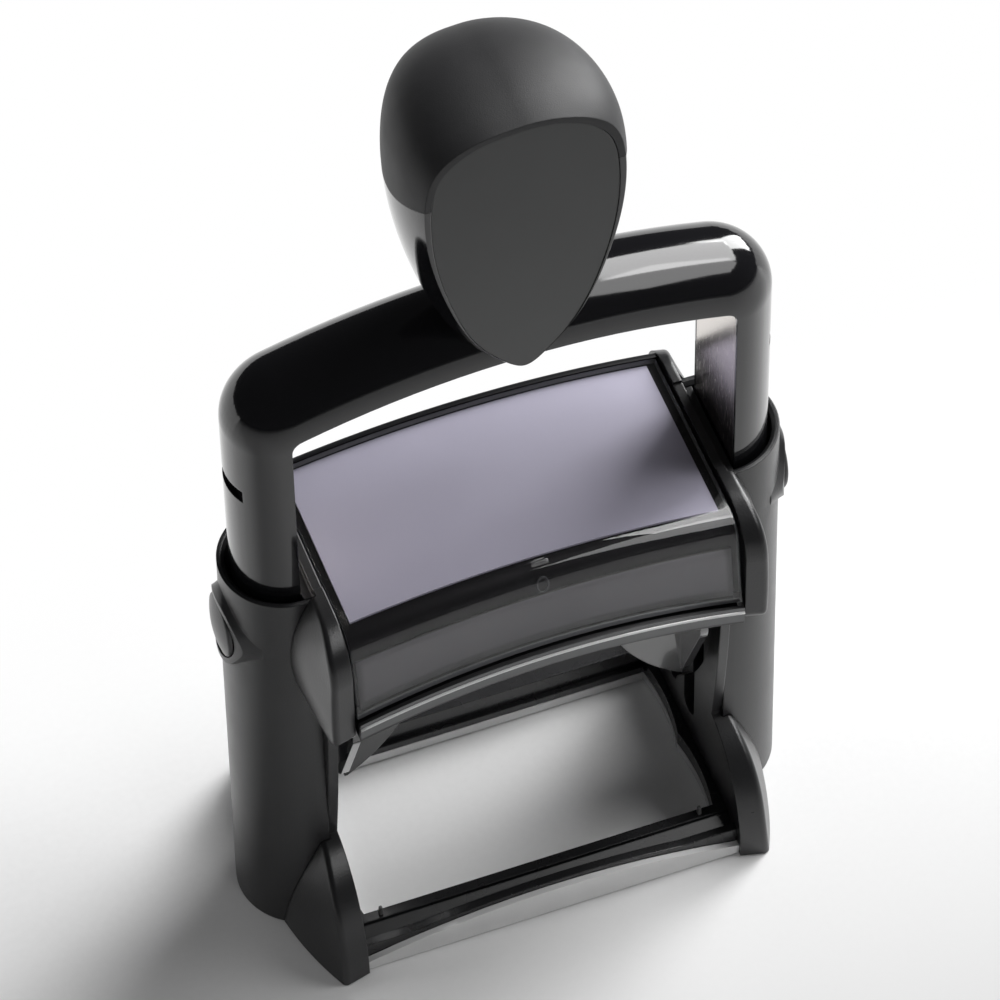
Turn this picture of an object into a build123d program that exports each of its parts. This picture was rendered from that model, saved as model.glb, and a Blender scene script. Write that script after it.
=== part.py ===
from build123d import *
from math import asin, atan2, cos, degrees, pi, sin, sqrt
import os

# Self-inking text stamp with a metal-cored yoke handle, shown at rest.
# X runs along the text plate, -Y is the front where the ink pad slides out, +Z is up, and
# the origin is the middle of the footprint on the paper. All sizes are millimetres.

# ---------------------------------------------------------------- text plate and motion
PLATE_LEN = 56.0             # text plate along X
PLATE_DEPTH = 26.0           # text plate along Y
PLATE_T = 2.0                # rubber text plate
CUSHION_T = 1.0              # foam between the carrier and the text plate
PRESS_TRAVEL = 35.0          # handle stroke; the carriage turns over once in it
AXLE_TO_FACE = 12.0          # turning axis to the printing face
PRINT_GAP = 0.2              # printing face above the paper at full stroke
INK_GAP = 0.45               # printing face below the ink pad at rest
AXLE_R = 2.0
AXLE_HEAD_R = 3.0
AXLE_HEAD_T = 0.5
RUN_CLEAR = 0.06             # radial clearance of a turning fit
SLIDE_CLEAR = 0.15           # clearance of a sliding fit, each side
CAM_R = 7.0                  # cam pin off the turning axis
CAM_PIN_R = 1.4
CAM_DEPTH = 1.5              # depth of the cam track in the side frame

# ---------------------------------------------------------------- chassis widths
END_ROOM = 3.7               # end of the text plate to the side frame
CHEEK_T = 3.0                # side frame behind the steel plate
SKIN_T = 1.6                 # side frame beside the column cover
SIDE_GAP = 0.25              # side frame to the sliding steel plate
YOKE_R = 8.2                 # half-round section of the yoke
SIDE_PLATE_T = 1.0
SIDE_PLATE_W = 15.2
LEG_WALL = 1.2
LEG_CLEAR = 0.65             # leg to the column cover, radial
COVER_T = 1.25
COVER_DRAFT = 0.6            # column cover wider at the floor than at the rim, radial
COVER_FLOOR = 3.0
FIT = 0.1                    # gap between fixed parts that nest in each other

# ---------------------------------------------------------------- base
WINDOW_ROOM = 2.4            # text plate to the front and rear rails
WINDOW_END_T = 1.9           # wall at each end of the window
LOBE = 0.8                   # how far the window's ends bow outwards
RAIL_DEPTH = 7.0
FRONT_RAIL_H = 5.0
REAR_RAIL_H = 7.2
RIDGE_RISE = 0.8             # ridge above the clear skirt
CLEAR_T = 1.9                # clear positioning frame on the paper
SKIRT_T = 1.0
SKIRT_MID_H = 5.9            # clear skirt at the middle of the front
FOOT_STEP = 0.7              # foot in front of the rail
FOOT_H = 21.5
FOOT_REACH = 15.2            # curved part of the foot, front to back
FOOT_OUT_LOW = 10.2          # foot outside the chassis, on the paper
FOOT_OUT_MID = 7.6           # the same half way up
FOOT_OUT_TOP = 2.4
FOOT_END_LOW = 3.6           # the same at its front and rear ends
FOOT_END_MID = 2.5
FOOT_END_TOP = 2.2
WAIST_Y = 12.9               # side frame under the wing
WAIST_LOW_Y = 9.6            # side frame above the foot
WAIST_BOW = 0.85
SLANT = 0.25                 # how far the fronts of wings and feet lean forwards, per unit outwards
EDGE_R = 0.9                 # rounded edge of wings and feet

# ---------------------------------------------------------------- upper housing
PAD_T = 5.0                  # felt ink pad
PAD_MARGIN = 0.6             # felt beyond the text plate, front and rear
PAD_END_MARGIN = 1.0         # felt beyond the text plate, each end
TRAY_WALL = 1.1
TRAY_ROOF_T = 1.35
FELT_PROUD = 1.0             # felt below the tray's walls
FLANGE_T = 1.2               # tray's sliding flange
LIP_H = 3.6                  # tray's front lip, which is also its finger grip
LIP_T = 0.8
LIP_Y = 22.9                 # front of the lip
LIP_RISE = 4.7               # bow of the lip's edges over the length of the hood
LIP_MID_UP = 7.55            # lip's lower edge over the pad's face, in the middle
HOUSING_H = 26.5             # pad's face to the top of the hood
CROWN_R = 171.0              # crown of the hood along X
HOOD_T = 1.2
HOOD_END_GAP = 0.4           # hood to each wing
HOOD_TOP_Y = 20.0            # front of the hood at its upper edge
HOOD_SLANT = 2.5             # how far the front leans out down to its lower edge
HOOD_EDGE_R = 4.0
REAR_WALL = 2.0              # bridge behind the pad tray
REAR_RIM = 1.5               # its rim behind the hood
REAR_RIM_R = 1.2
CARD_END_GAP = 2.0           # card to the side frames
CARD_FRONT_GAP = 4.8         # card to the front edge of the hood
CARD_T = 0.4
BRIDGE_T = 1.4
LABEL_T = 0.4
LABEL_END_GAP = 1.0          # label to the ends of the hood
LABEL_DROP = 2.2             # label below the bent edge of the hood
WING_FRONT_Y = 21.9
WING_REAR_Y = 19.5
WING_FRONT_R = 8.0
WING_REAR_R = 7.0
WING_OUT_LOW = 4.3           # wing outside the chassis, at its lower edge
WING_OUT_MID = 6.2           # the same half way up
WING_OUT_TOP = 1.0
WING_END_LOW = 3.2           # the same at its front end
WING_END_MID = 2.5
WING_END_TOP = 3.6
WING_REAR_THIN = 1.6         # how much thinner its rear end is
WING_DROP = 1.85             # top of the wings below the top of the hood
SADDLE = 0.6                 # recess in the top of a wing for the pressed yoke
RIM_DROP = 1.3               # column rim below the top of the wings

# ---------------------------------------------------------------- yoke, springs and buttons
BAR_GAP = 2.45               # bar above the hood at full stroke
BAR_ARC_R = 125.0            # bow of the bar's underside
YOKE_CORNER_R = 2.2          # inner corners of the yoke
LEG_FOOT_GAP = 2.0           # leg above the column floor at full stroke
SPRING_WIRE = 0.8
SPRING_OD = 5.2
SPRING_TURNS = 15
SPRING_BASE_UP = 2.0         # spring seat above the foot of the leg at rest
SPRING_LEN = 66.0
PILOT_LEN = 18.0             # part of the post inside the spring
BUTTON_Y = 9.2               # lock button, across
BUTTON_Z = 12.0              # lock button, tall
BUTTON_TRAVEL = 1.6
BUTTON_DROP = 12.6           # middle of the button below the rim
BUTTON_PROUD = 1.6           # button outside the column
BOSS_PROUD = 1.0             # boss round the button, outside the column
BOSS_MARGIN = 0.9            # its top beyond the button
BOSS_Y = 16.0                # its foot, across
BOSS_Z = 20.4                # its foot, tall
BOSS_PINCH = 0.62            # how far its outline bulges between its four corners
BOSS_SINK = 3.6              # its foot inside the outermost line of the column
BOSS_BEND = 0.3              # level where its flanks bend, inside that line
BOSS_HOLLOW = 0.8            # how hollow its flanks are there
BUTTON_DOME = 0.9            # middle of the button over its upper and lower ends
BUTTON_EDGE_R = 0.5
PAWL_T = 1.8
PAWL_W = 7.0
NOTCH_H = 2.6

# ---------------------------------------------------------------- knob
KNOB_W = 34.2
KNOB_FRONT_Y = 13.5          # badge face in front of the bar's middle
KNOB_BACK_Y = 16.7
KNOB_WIDE_Y = -4.8           # where the knob is widest
KNOB_FORWARD = 18.3          # from there to the front pole of its egg shape
KNOB_TOP_UP = 58.0           # top of the knob over the bar's underside
KNOB_WAIST_UP = 42.9         # its widest level
KNOB_TIP_UP = -0.4           # its lowest point, wrapped round the bar
SHIELD_W = 28.2              # badge plate
SHIELD_H = 52.0
SHIELD_T = 0.9
BADGE_DROP = 2.6             # top of the badge plate below the top of the knob
SEAM_FRONT_UP = 45.5         # soft cap's seam over the bar's underside, at the front
SEAM_MID_UP = 39.2           # the same over the bar
SEAM_BACK_UP = 36.0          # the same at the back

# ---------------------------------------------------------------- places that follow
AXLE_DOWN_Z = PRINT_GAP + AXLE_TO_FACE
AXLE_Z = AXLE_DOWN_Z + PRESS_TRAVEL
PAD_Z = AXLE_Z + AXLE_TO_FACE + INK_GAP
CHASSIS_X = PLATE_LEN / 2 + END_ROOM
CHEEK_X = CHASSIS_X + CHEEK_T
SKIN_X = CHASSIS_X + SKIN_T
YOKE_X = CHEEK_X + SIDE_GAP
COVER_IN_R = YOKE_R + LEG_CLEAR
COVER_R = COVER_IN_R + COVER_T
WINDOW_X = CHASSIS_X - WINDOW_END_T
WINDOW_Y = PLATE_DEPTH / 2 + WINDOW_ROOM
BASE_Y = WINDOW_Y + RAIL_DEPTH
FOOT_Y = BASE_Y + FOOT_STEP
HOOD_TOP_Z = PAD_Z + HOUSING_H
HOOD_SKIN = HOOD_T + CARD_T + 3 * FIT
TRAY_X = PLATE_LEN / 2 + PAD_END_MARGIN + TRAY_WALL
TRAY_Y = PLATE_DEPTH / 2 + PAD_MARGIN + TRAY_WALL
HOOD_REAR_Y = TRAY_Y + FIT + REAR_WALL
HOOD_END_Y = HOOD_REAR_Y - REAR_RIM - FIT
HOOD_X = CHASSIS_X - HOOD_END_GAP
CARD_X = CHASSIS_X - CARD_END_GAP
WING_TOP_Z = HOOD_TOP_Z - WING_DROP
WING_BOTTOM_Z = PAD_Z + 1.85
RIM_Z = WING_TOP_Z - RIM_DROP
BAR_Z = HOOD_TOP_Z + PRESS_TRAVEL + BAR_GAP
LEG_BOTTOM_Z = COVER_FLOOR + LEG_FOOT_GAP + PRESS_TRAVEL
SPRING_Z = LEG_BOTTOM_Z + SPRING_BASE_UP
SPRING_X = (YOKE_X + SIDE_PLATE_T + YOKE_X + YOKE_R - LEG_WALL) / 2
BUTTON_MID_Z = RIM_Z - BUTTON_DROP
COLUMN_OUT_X = YOKE_X + COVER_R
OVAL_PINCH = sqrt(0.5)       # pinch of a plain oval
LIP_MID_Z = PAD_Z + LIP_MID_UP
LIP_END_Z = LIP_MID_Z - LIP_RISE
ROOF_Z = PAD_Z + PAD_T
CARRIER_X = PLATE_LEN / 2
ARM_IN_X = CARRIER_X + FIT
LINK_X = WINDOW_X - 0.4
LINK_OUT_X = CHASSIS_X - 0.35
FAR = 60.0                   # beyond the outside of the stamp


# ---------------------------------------------------------------- drawing helpers
def box(x0, x1, y0, y1, z0, z1):
    middle = Pos((x0 + x1) / 2, (y0 + y1) / 2, (z0 + z1) / 2)
    return middle * Box(x1 - x0, y1 - y0, z1 - z0)


def front_prism(face, y0, y1):
    """Extrude a face drawn in X and Z from y0 to y1."""
    plane = Plane(origin=(0, y0, 0), x_dir=(1, 0, 0), z_dir=(0, -1, 0))
    return extrude(plane * face, amount=-(y1 - y0))


def side_prism(face, x0, x1):
    """Extrude a face drawn in Y and Z from x0 to x1."""
    plane = Plane(origin=(x0, 0, 0), x_dir=(0, 1, 0), z_dir=(1, 0, 0))
    return extrude(plane * face, amount=x1 - x0)


def plan_prism(face, z0, z1):
    return extrude(Plane.XY.offset(z0) * face, amount=z1 - z0)


def outline(points, radii):
    """Closed polygon with one corner radius per point."""
    return make_face(FilletPolyline(*points, radius=radii, close=True))


def loop(*edges):
    return make_face(Curve() + list(edges))


def both(part):
    """A piece of the right side (+X) with its mirror image on the left."""
    return part, mirror(part, about=Plane.YZ)


def under_arc(mid_z, end_z, half, floor_z, y0, y1):
    """Solid below an arc across X, flat underneath."""
    arc = ThreePointArc((-half, end_z), (0, mid_z), (half, end_z))
    right = Line((half, end_z), (half, floor_z))
    bottom = Line((half, floor_z), (-half, floor_z))
    left = Line((-half, floor_z), (-half, end_z))
    return front_prism(loop(arc, right, bottom, left), y0, y1)


def arc_band(mid_z, end_z, height, half, y0, y1):
    floor_z = end_z - height
    upper = under_arc(mid_z + height, end_z + height, half, floor_z, y0, y1)
    return upper - under_arc(mid_z, end_z, half, floor_z, y0, y1)


def crown_sweep(face, half):
    """Sweep a Y-Z face along the crown of the hood and trim it to a half length."""
    axis = Axis((0, 0, HOOD_TOP_Z - CROWN_R), (0, 1, 0))
    reach = degrees(asin((half + 4) / (CROWN_R - 2 * HOUSING_H)))
    section = (Plane.YZ * face).rotate(axis, -reach)
    swept = revolve(section, axis, revolution_arc=2 * reach)
    low = PAD_Z - HOUSING_H
    return swept & box(-half, half, -40, 40, low, HOOD_TOP_Z + HOUSING_H)


# ---------------------------------------------------------------- side frames
def cover_ring(radius, start_x=SKIN_X):
    """Half disc round the leg with straight sides back to the side frame, in plan."""
    disc = Pos(YOKE_X, 0) * Circle(radius)
    keep = Pos(YOKE_X + FAR / 2, 0) * Rectangle(FAR, FAR)
    slab = Pos((start_x + YOKE_X) / 2, 0) * Rectangle(YOKE_X - start_x, 2 * radius)
    return (disc & keep) + slab


def cover_solid(gap, start_x=SKIN_X):
    """Outside of a column cover as a solid, with its moulding draft."""
    low = Plane.XY * cover_ring(COVER_R + COVER_DRAFT + gap, start_x)
    high = Plane.XY.offset(RIM_Z) * cover_ring(COVER_R + gap, start_x)
    return loft([low, high], ruled=True)


def cover_room():
    """Room for a column cover in the side frame, open at the top."""
    above = plan_prism(cover_ring(COVER_R + FIT, SKIN_X - FIT), RIM_Z, RIM_Z + 10)
    return cover_solid(FIT, SKIN_X - FIT) + above


def slanted(face, width):
    """Extrude a Y-Z face outwards from the chassis, leaning forwards on its way."""
    run = Vector(1, -SLANT, 0)
    start = Plane(origin=(CHASSIS_X, 0, 0), x_dir=(0, 1, 0), z_dir=(1, 0, 0))
    return extrude(start * face, amount=width * run.length, dir=run)


def outer_limit(levels):
    """Space inside a bowed outer surface.

    Each level gives its height and how far it reaches outside the chassis at the front end,
    in the middle and at the rear end.
    """
    end_y = FOOT_Y + 3
    sections = []
    for z, front, middle, rear in levels:
        a = (CHASSIS_X + front, -end_y)
        b = (CHASSIS_X + rear, end_y)
        inner = CHASSIS_X - 1
        bow = ThreePointArc(a, (CHASSIS_X + middle, 0), b)
        back = Line(b, (inner, end_y))
        side = Line((inner, end_y), (inner, -end_y))
        sections.append(Plane.XY.offset(z) * loop(bow, back, side, Line((inner, -end_y), a)))
    return loft(sections)


def round_outside(solid, low):
    """Round the edges of the outermost face above a height."""
    edges = solid.faces().sort_by(Axis.X)[-1].edges()
    return fillet(edges.filter_by(lambda e: e.center().Z > low), EDGE_R)


def wing():
    """Upper end wall beside the hood, with a bowed outside that narrows towards the rear."""
    points = [(-WING_FRONT_Y, WING_BOTTOM_Z), (-WING_FRONT_Y, WING_TOP_Z),
              (WING_REAR_Y, WING_TOP_Z), (WING_REAR_Y, WING_BOTTOM_Z)]
    solid = slanted(outline(points, [2.0, WING_FRONT_R, WING_REAR_R, 2.0]), 2 * WING_OUT_MID)
    middle = (WING_BOTTOM_Z + WING_TOP_Z) / 2
    levels = [
        (WING_BOTTOM_Z - 1, WING_END_LOW, WING_OUT_LOW, WING_END_LOW - WING_REAR_THIN),
        (middle, WING_END_MID, WING_OUT_MID, WING_END_MID - WING_REAR_THIN),
        (WING_TOP_Z + 1, WING_END_TOP, WING_OUT_TOP, WING_END_TOP - WING_REAR_THIN),
    ]
    return round_outside(solid & outer_limit(levels), WING_BOTTOM_Z + 1)


def foot():
    """Foot under a column, curved down to its toes and bowed outwards."""
    middle = FOOT_Y - FOOT_REACH
    toe = EllipticalCenterArc((-middle, 0), FOOT_REACH, FOOT_H, 90, arc_size=90)
    heel = (middle, FOOT_H)
    face = loop(toe, Line((-FOOT_Y, 0), (middle, 0)), Line((middle, 0), heel),
                Line(heel, (-middle, FOOT_H)))
    front = slanted(face, 2 * FOOT_OUT_LOW)
    levels = [
        (-1, FOOT_END_LOW, FOOT_OUT_LOW, FOOT_END_LOW),
        (FOOT_H * 0.55, FOOT_END_MID, FOOT_OUT_MID, FOOT_END_MID),
        (FOOT_H + 1, FOOT_END_TOP, FOOT_OUT_TOP, FOOT_END_TOP),
    ]
    solid = (front + mirror(front, about=Plane.XZ)) & outer_limit(levels)
    return round_outside(solid, 1)


def waist():
    """Slim part of a side frame between the wing and the foot."""
    low, high = 0, WING_BOTTOM_Z + 3
    middle = (WAIST_Y + WAIST_LOW_Y) / 2 + WAIST_BOW
    bend = (FOOT_H + high) / 2
    front = ThreePointArc((-WAIST_LOW_Y, FOOT_H), (-middle, bend), (-WAIST_Y, high))
    rear = ThreePointArc((WAIST_Y, high), (middle, bend), (WAIST_LOW_Y, FOOT_H))
    face = loop(Line((-WAIST_LOW_Y, low), (-WAIST_LOW_Y, FOOT_H)), front,
                Line((-WAIST_Y, high), (WAIST_Y, high)), rear,
                Line((WAIST_LOW_Y, FOOT_H), (WAIST_LOW_Y, low)),
                Line((WAIST_LOW_Y, low), (-WAIST_LOW_Y, low)))
    return side_prism(face, CHASSIS_X, SKIN_X)


def axle_slot():
    half = AXLE_R + SLIDE_CLEAR
    low = AXLE_DOWN_Z - AXLE_R - SLIDE_CLEAR
    high = AXLE_Z + AXLE_R + SLIDE_CLEAR
    face = Pos(0, (low + high) / 2) * SlotOverall(high - low, 2 * half, rotation=90)
    return side_prism(face, CHASSIS_X - 1, CHEEK_X + 1)


def cam_point(turn):
    """Place of the cam pin in Y and Z after the carriage has turned by an angle."""
    y = -CAM_R * cos(turn)
    z = AXLE_Z - PRESS_TRAVEL * turn / pi - CAM_R * sin(turn)
    return y, z


def cam_track():
    """S-shaped groove that turns the carriage over as it goes down."""
    steps = 12
    points = [cam_point(pi * i / steps) for i in range(steps + 1)]
    width = 2 * (CAM_PIN_R + SLIDE_CLEAR)
    groove = trace(Spline(*points), width)
    for end in (points[0], points[-1]):
        groove += Pos(*end) * Circle(width / 2)
    return side_prism(groove, CHASSIS_X - 1, CHASSIS_X + CAM_DEPTH)


def tray_rail():
    """Rib inside a side frame that carries the pad tray's flange."""
    top = WING_BOTTOM_Z + 0.3
    inner = CHASSIS_X - 1.5
    return box(inner, CHASSIS_X + 0.5, -TRAY_Y - 2, TRAY_Y - 1, top - FLANGE_T, top)


def side_frame():
    core_y = COVER_IN_R - FIT
    core = box(CHASSIS_X, CHEEK_X, -core_y, core_y, 0, WING_TOP_Z - 2)
    shell = wing() + foot() - cover_room()
    frame = shell + waist() + core + tray_rail()
    saddle = box(CHASSIS_X - 1, SKIN_X, -COVER_IN_R, COVER_IN_R,
                 WING_TOP_Z - SADDLE, WING_TOP_Z + 1)
    return frame - axle_slot() - cam_track() - saddle


# ---------------------------------------------------------------- column covers
def button_face(margin):
    return Ellipse(BUTTON_Y / 2 + margin, BUTTON_Z / 2 + margin)


def boss_face(half_y, half_z, pinch):
    """Outline between an oval (OVAL_PINCH) and a rhombus (pinch 0.5)."""
    corners = [(1, 0), (pinch, pinch), (0, 1), (-pinch, pinch),
               (-1, 0), (-pinch, -pinch), (0, -1), (pinch, -pinch)]
    return make_face(Spline(*[(half_y * a, half_z * b) for a, b in corners], periodic=True))


def around_column(face):
    """Turn an X-Z face round the middle of the column, on its outer side."""
    section = (Plane.XZ * face).rotate(Axis.Z, -75)
    return Pos(YOKE_X, 0) * revolve(section, Axis.Z, revolution_arc=150)


def boss():
    """Raised oval round the lock button, with hollow flanks."""
    plane = Plane(origin=(COLUMN_OUT_X, 0, BUTTON_MID_Z), x_dir=(0, 1, 0), z_dir=(1, 0, 0))
    top_y, top_z = BUTTON_Y / 2 + BOSS_MARGIN, BUTTON_Z / 2 + BOSS_MARGIN
    foot_y, foot_z = BOSS_Y / 2, BOSS_Z / 2
    bend_y = (top_y + foot_y) / 2 - BOSS_HOLLOW
    flared = loft([
        plane.offset(-BOSS_SINK) * boss_face(foot_y, foot_z, BOSS_PINCH),
        plane.offset(-BOSS_BEND) * boss_face(bend_y, foot_z - BOSS_HOLLOW, BOSS_PINCH),
        plane.offset(BOSS_PROUD + FIT) * boss_face(top_y, top_z, OVAL_PINCH),
    ])
    outside = Rectangle(COVER_R + BOSS_PROUD, FAR, align=(Align.MIN, Align.CENTER))
    return flared & around_column(Pos(0, BUTTON_MID_Z) * outside)


def column_cover():
    wall = cover_solid(0) - plan_prism(cover_ring(COVER_IN_R), 0, RIM_Z)
    inner_rim = wall.edges().filter_by(GeomType.CIRCLE).group_by(Axis.Z)[-1]
    wall = chamfer(inner_rim.sort_by(SortBy.RADIUS)[0], 0.6)
    keep = Pos(YOKE_X + FAR / 2, 0) * Rectangle(FAR, FAR)
    floor = plan_prism(cover_ring(COVER_IN_R + FIT) & keep, 0, COVER_FLOOR)
    post_r = SPRING_OD / 2
    post = Pos(SPRING_X, 0) * Circle(post_r)
    pilot = Pos(SPRING_X, 0) * Circle(post_r - SPRING_WIRE - 0.35)
    cover = wall + floor + plan_prism(post, 0, SPRING_Z)
    cover += plan_prism(pilot, SPRING_Z - 1, SPRING_Z + PILOT_LEN)
    start = COLUMN_OUT_X - COVER_T
    plane = Plane(origin=(start, 0, BUTTON_MID_Z), x_dir=(0, 1, 0), z_dir=(1, 0, 0))
    ring = boss() - plan_prism(Pos(YOKE_X, 0) * Circle(COVER_IN_R + 0.2), 0, RIM_Z)
    hole = extrude(plane.offset(-1.5) * button_face(SLIDE_CLEAR), amount=10)
    return cover + ring - hole


# ---------------------------------------------------------------- base
def window_face(shrink):
    """Window in plan: straight sides and ends that bow out from a rib in the middle."""
    x = WINDOW_X - shrink
    y = WINDOW_Y - shrink
    rib = (x, 0)
    ends = []
    for s in (1, -1):
        ends.append(ThreePointArc((s * x, s * y), (s * (x + LOBE), s * y / 2), (s * x, 0)))
        ends.append(ThreePointArc((s * x, 0), (s * (x + LOBE), -s * y / 2), (s * x, -s * y)))
    rear = Line((-rib[0], y), (rib[0], y))
    front = Line((-rib[0], -y), (rib[0], -y))
    return loop(ends[0], ends[1], front, ends[2], ends[3], rear)


def positioning_frame():
    """Clear frame under the base, with a bowed skirt in front of and behind the rails."""
    plate = box(-CHASSIS_X, CHASSIS_X, -BASE_Y, BASE_Y, 0, CLEAR_T)
    skirt = under_arc(SKIRT_MID_H, CLEAR_T, CHASSIS_X, 0, -BASE_Y, -BASE_Y + SKIRT_T)
    rear = mirror(skirt, about=Plane.XZ)
    return plate + skirt + rear - plan_prism(window_face(0.1), -1, CLEAR_T + 1)


def base_frame():
    """Black ring with the stepped rails round the window."""
    out_y = BASE_Y - SKIRT_T - FIT
    low = CLEAR_T
    ring = box(-CHASSIS_X, CHASSIS_X, -out_y, out_y, low, FRONT_RAIL_H)
    ring += box(-CHASSIS_X, CHASSIS_X, WINDOW_Y, out_y, low, REAR_RAIL_H)
    ridge_y = out_y - 1.4
    for s in (-1, 1):
        top = SKIRT_MID_H + RIDGE_RISE
        y0, y1 = sorted((s * out_y, s * ridge_y))
        ring += under_arc(top, CLEAR_T + RIDGE_RISE + 0.6, CHASSIS_X, low, y0, y1)
    valley = outline([(-ridge_y, low + 0.9), (-WINDOW_Y - 1.8, FRONT_RAIL_H - 0.6),
                      (-WINDOW_Y - 1.0, FRONT_RAIL_H + 4), (-ridge_y, FRONT_RAIL_H + 4)],
                     [0.6, 0, 0, 0])
    ring -= side_prism(valley, -CHASSIS_X, CHASSIS_X)
    step = box(-CHASSIS_X, CHASSIS_X, WINDOW_Y - 1, WINDOW_Y + 0.8, low + 1.4, REAR_RAIL_H + 1)
    return ring - step - plan_prism(window_face(0), low - 1, REAR_RAIL_H + 1)


# ---------------------------------------------------------------- pad tray
def ink_pad():
    half_x = PLATE_LEN / 2 + PAD_END_MARGIN
    half_y = PLATE_DEPTH / 2 + PAD_MARGIN
    return box(-half_x, half_x, -half_y, half_y, PAD_Z, ROOF_Z)


def pad_tray():
    in_x = PLATE_LEN / 2 + PAD_END_MARGIN
    in_y = PLATE_DEPTH / 2 + PAD_MARGIN
    low = PAD_Z + FELT_PROUD
    top = ROOF_Z + TRAY_ROOF_T
    tray = box(-TRAY_X, TRAY_X, -TRAY_Y, TRAY_Y, low, top)
    tray -= box(-in_x, in_x, -in_y, in_y, low - 1, ROOF_Z)
    flange_x = CHASSIS_X - 0.6
    flange_z = WING_BOTTOM_Z + 0.3 + FIT
    for s in (-1, 1):
        x0, x1 = sorted((s * flange_x, s * (TRAY_X - 0.3)))
        tray += box(x0, x1, -TRAY_Y, TRAY_Y, flange_z, flange_z + FLANGE_T)
    half = HOOD_X
    web_y = -TRAY_Y - 0.9
    arch = arc_band(LIP_MID_Z, LIP_END_Z, LIP_T, half, -LIP_Y, web_y)
    web = under_arc(LIP_MID_Z + LIP_T, LIP_END_Z + LIP_T, half, LIP_END_Z, web_y, -in_y)
    web &= box(-TRAY_X, TRAY_X, -LIP_Y, LIP_Y, ROOF_Z, HOOD_TOP_Z)
    lip = arc_band(LIP_MID_Z, LIP_END_Z, LIP_H, half, -LIP_Y, -LIP_Y + LIP_T)
    return tray + arch + web + lip


# ---------------------------------------------------------------- bridge, card, label and hood
def front_y(z, inset):
    """Front of the housing at a height, leaning out towards the bottom."""
    run = HOOD_TOP_Z - HOOD_EDGE_R - (LIP_END_Z + LIP_H)
    lean = HOOD_SLANT * (HOOD_TOP_Z - HOOD_EDGE_R - z) / run
    return -(HOOD_TOP_Y + lean) + inset


def housing_face(inset, low, rear, rear_low):
    """Y-Z section of the housing, moved in by an inset."""
    top = HOOD_TOP_Z - inset
    points = [(front_y(low, inset), low), (front_y(top, inset), top), (rear, top),
              (rear, rear_low), (0, rear_low), (0, low)]
    return outline(points, [0, max(HOOD_EDGE_R - inset, 0.6), 0, 0, 0, 0])


def below_lip(up, y1):
    """What lies under the lip's upper edge, raised by a gap."""
    half = CHASSIS_X + 1
    mid = LIP_MID_Z + LIP_H + up
    return under_arc(mid, mid - LIP_RISE, half, PAD_Z - 20, -60, y1)


def hood():
    """Clear cover over the card and the front, open behind so that it slides off forwards."""
    low = LIP_END_Z
    outer = crown_sweep(housing_face(0, low, HOOD_END_Y, ROOF_Z), HOOD_X)
    inner = crown_sweep(housing_face(HOOD_T, low - 1, HOOD_END_Y + 1, ROOF_Z - 1), HOOD_X + 1)
    return outer - inner - below_lip(FIT, 0)


def rear_rim():
    """Y-Z section of the bridge's rim behind the hood."""
    front = HOOD_REAR_Y - REAR_RIM
    low = HOOD_TOP_Z - HOOD_SKIN - 1
    points = [(front, low), (front, HOOD_TOP_Z), (HOOD_REAR_Y, HOOD_TOP_Z), (HOOD_REAR_Y, low)]
    return outline(points, [0, 0, REAR_RIM_R, 0])


def bridge():
    """Black deck and walls between the side frames, over the pad tray."""
    low = ROOF_Z + TRAY_ROOF_T + 0.5
    rear_low = PAD_Z + FELT_PROUD + 0.3
    section = housing_face(HOOD_SKIN, low, HOOD_REAR_Y, rear_low) + rear_rim()
    inset = HOOD_SKIN + BRIDGE_T
    room = housing_face(inset, low - 1, TRAY_Y + FIT, rear_low - 1)
    inner = crown_sweep(room, CHASSIS_X - BRIDGE_T)
    tray_room = box(-CHASSIS_X, CHASSIS_X, -30, TRAY_Y + FIT, rear_low - 1, low)
    return crown_sweep(section, CHASSIS_X) - inner - tray_room - below_lip(4 * FIT, 0)


def index_card():
    top = HOOD_TOP_Z - HOOD_T - FIT
    front = -(HOOD_TOP_Y - CARD_FRONT_GAP)
    rear = HOOD_END_Y - 2 * FIT
    face = outline([(front, top - CARD_T), (rear, top - CARD_T), (rear, top), (front, top)],
                   [0, 0, 0, 0])
    return crown_sweep(face, CARD_X)


def front_label():
    """Thin sheet behind the hood's front window."""
    inset = HOOD_T + FIT
    top = HOOD_TOP_Z - HOOD_EDGE_R - LABEL_DROP
    low = LIP_END_Z
    points = [(front_y(low, inset), low), (front_y(top, inset), top),
              (front_y(top, inset + LABEL_T), top), (front_y(low, inset + LABEL_T), low)]
    sheet = crown_sweep(outline(points, [0, 0, 0, 0]), HOOD_X - LABEL_END_GAP)
    return sheet - below_lip(0.8, 0)


# ---------------------------------------------------------------- yoke
def corner_frame():
    """Centre of the yoke's inner corner and its lean where it meets the bar."""
    x = YOKE_X - YOKE_CORNER_R
    centre_z = BAR_Z - BAR_ARC_R
    rise = sqrt((BAR_ARC_R - YOKE_CORNER_R) ** 2 - x ** 2)
    return x, centre_z + rise, degrees(atan2(x, rise))


def half_round(base, radius):
    """Half-round section in Y and Z, flat side down at a height."""
    return loop(ThreePointArc((-radius, base), (0, base + radius), (radius, base)),
                Line((radius, base), (-radius, base)))


def bar():
    _, _, lean = corner_frame()
    axis = Axis((0, 0, BAR_Z - BAR_ARC_R), (0, 1, 0))
    section = (Plane.YZ * half_round(BAR_Z, YOKE_R)).rotate(axis, -lean)
    return revolve(section, axis, revolution_arc=2 * lean)


def leg_section(radius, start_x):
    disc = Pos(YOKE_X, 0) * Circle(radius)
    return disc & Pos(start_x + FAR / 2, 0) * Rectangle(FAR, FAR)


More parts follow.
